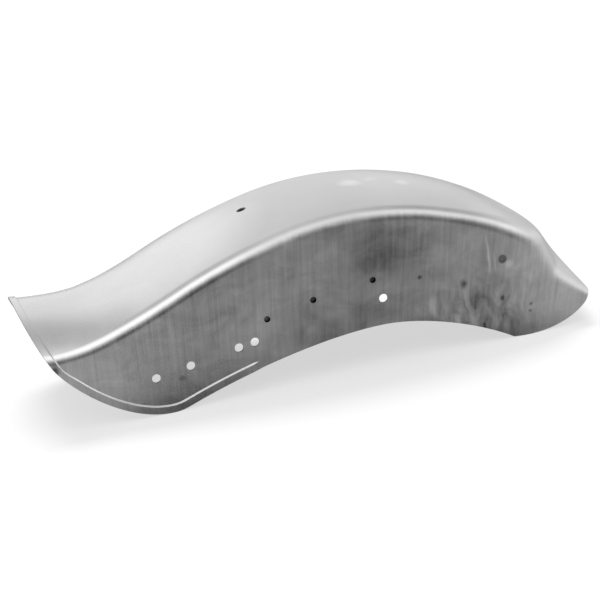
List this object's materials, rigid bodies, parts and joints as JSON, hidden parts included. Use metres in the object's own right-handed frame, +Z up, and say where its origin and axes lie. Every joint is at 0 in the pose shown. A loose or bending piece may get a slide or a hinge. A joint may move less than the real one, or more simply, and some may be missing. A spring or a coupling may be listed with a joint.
{
  "type": "motorcycle rear fender",
  "caption": "One-piece pressed steel rear fender with a domed crown, flat side walls, flared tail and stepped front tongue.",
  "frame": {"origin": "centre of the footprint, on the floor that the two heels and toes rest on", "axes": "+X from the tail to the front, +Y to the left wall, +Z up through the crown"},
  "size_m": [0.586, 0.1832, 0.1776],
  "materials": {
    "steel": "bare raw sheet steel, lightly brushed and stained, satin"
  },
  "bodies": {
    "root": {"fender": "steel"}
  },
  "joints": []
}
